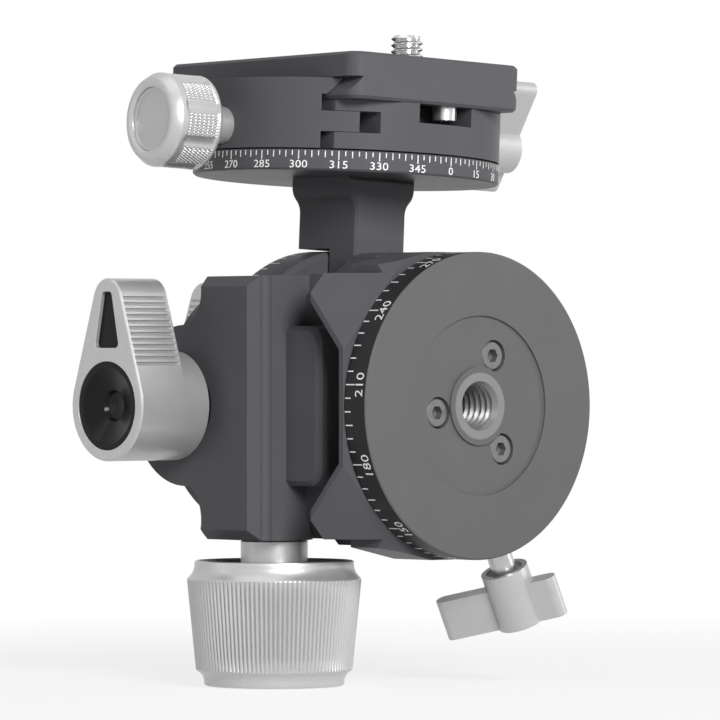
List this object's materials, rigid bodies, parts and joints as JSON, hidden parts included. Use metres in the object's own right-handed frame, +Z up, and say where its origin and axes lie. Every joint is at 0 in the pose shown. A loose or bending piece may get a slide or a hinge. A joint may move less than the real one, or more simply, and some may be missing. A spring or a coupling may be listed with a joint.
{
  "type": "geared tripod head",
  "caption": "Geared tripod head with a worm-driven tilting arm, a panning platform, a dovetail clamp and a camera plate, locked by levers and winged knobs.",
  "frame": {"origin": "centre of the tripod thread's mouth, on the outer face of the base disc", "axes": "+Y runs from the base disc into the head, along its pan and tilt axis; +Z is up towards the camera platform; the worm column and the side lever are on -X"},
  "size_m": [0.0964, 0.0825, 0.1281],
  "materials": {
    "dark_aluminium": "bead-blasted, black anodised",
    "disc_aluminium": "turned, grey anodised",
    "plate_aluminium": "bead-blasted, grey anodised",
    "silver_aluminium": "bead-blasted, clear anodised",
    "steel": "turned",
    "bronze": "turned",
    "black_plastic": "satin moulded",
    "black_rubber": "ribbed, matt"
  },
  "bodies": {
    "base": {"base_disc": "disc_aluminium", "thread_bush": "disc_aluminium", "base_screws": "steel", "pan_retainer": "steel", "pan_washer": "black_plastic"},
    "housing": {"housing": "dark_aluminium", "front_bearing": "dark_aluminium", "scale_drum": "dark_aluminium", "rear_cover": "dark_aluminium", "rear_bearing": "bronze", "rear_cover_screws": "steel", "worm_bush_lower": "bronze", "worm_bush_upper": "bronze", "worm_cap": "black_plastic", "lock_bush": "black_plastic", "tilt_shoe": "bronze", "base_lock_shoe": "bronze"},
    "worm": {"worm_shaft": "steel", "fine_knob": "silver_aluminium", "knob_screw": "steel"},
    "side_lever": {"lock_lever": "silver_aluminium", "lever_cap": "black_plastic", "lever_inlay": "black_plastic", "lock_screw": "steel"},
    "back_lever": {"rear_lever": "silver_aluminium", "rear_lever_cap": "black_plastic", "rear_lever_inlay": "black_plastic"},
    "base_lock": {"base_lock_knob": "silver_aluminium", "base_lock_screw": "steel"},
    "tilt": {"arm_bracket": "dark_aluminium", "worm_wheel": "bronze", "tilt_shaft": "steel", "arm_screws": "steel", "pan_ring": "dark_aluminium", "ring_screws": "steel", "pan_pivot": "steel"},
    "clamp": {"clamp_base": "dark_aluminium", "clamp_washer": "black_plastic", "guide_pins": "steel", "clamp_shoe": "bronze"},
    "clamp_lock": {"clamp_lock_knob": "silver_aluminium", "clamp_lock_screw": "steel"},
    "jaw": {"movable_jaw": "dark_aluminium"},
    "clamp_knob": {"jaw_knob": "silver_aluminium", "jaw_screw": "steel", "jaw_knob_disc": "silver_aluminium", "jaw_clip": "steel"},
    "plate": {"quick_release_plate": "plate_aluminium", "grip_pads": "black_rubber", "plate_stop_screws": "steel"},
    "camera_stud": {"camera_screw": "steel"}
  },
  "joints": [
    {"name": "base_pan", "type": "hinge", "parent": "base", "child": "housing", "pos_m": [0, 0, 0], "axis": [0, 1, 0], "continuous": true},
    {"name": "arm_tilt", "type": "hinge", "parent": "housing", "child": "tilt", "pos_m": [0, 0, 0], "axis": [0, 1, 0], "range_deg": [-20, 87]},
    {"name": "worm_spin", "type": "hinge", "parent": "housing", "child": "worm", "pos_m": [-0.022, 0.03575, 0], "axis": [0, 0, 1], "range_deg": [-3832, 884]},
    {"name": "side_lever_turn", "type": "hinge", "parent": "housing", "child": "side_lever", "pos_m": [-0.033, 0.05, 0], "axis": [-1, 0, 0], "range_deg": [0, 100]},
    {"name": "back_lever_turn", "type": "hinge", "parent": "tilt", "child": "back_lever", "pos_m": [0, 0.066, 0], "axis": [0, 1, 0], "range_deg": [0, 100]},
    {"name": "base_lock_turn", "type": "hinge", "parent": "housing", "child": "base_lock", "pos_m": [0, 0.0093, 0], "axis": [0.4226, 0, -0.9063], "range_deg": [0, 180]},
    {"name": "platform_pan", "type": "hinge", "parent": "tilt", "child": "clamp", "pos_m": [0, 0.0418, 0], "axis": [0.0488, 0, 0.9988], "continuous": true},
    {"name": "clamp_lock_turn", "type": "hinge", "parent": "clamp", "child": "clamp_lock", "pos_m": [0.00263, 0.0418, 0.05374], "axis": [0.994, -0.0976, -0.0486], "range_deg": [0, 180]},
    {"name": "jaw_slide", "type": "slide", "parent": "clamp", "child": "jaw", "axis": [-0.994, 0.0976, 0.0486], "range_m": [0, 0.003]},
    {"name": "jaw_knob_turn", "type": "hinge", "parent": "jaw", "child": "clamp_knob", "pos_m": [0.00263, 0.0418, 0.05374], "axis": [-0.994, 0.0976, 0.0486], "range_deg": [0, 1084]},
    {"name": "plate_slide", "type": "slide", "parent": "clamp", "child": "plate", "axis": [0.0975, 0.9952, -0.0048], "range_m": [-0.003, 0.003]},
    {"name": "camera_stud_turn", "type": "hinge", "parent": "plate", "child": "camera_stud", "pos_m": [0.00147, 0.02289, 0.06806], "axis": [0.0488, 0, 0.9988], "continuous": true}
  ],
  "couplings": [
    {"joint": "worm_spin", "follows": "arm_tilt", "ratio": -44},
    {"joint": "jaw_knob_turn", "follows": "jaw_slide", "rad_per_m": 6283.2}
  ]
}
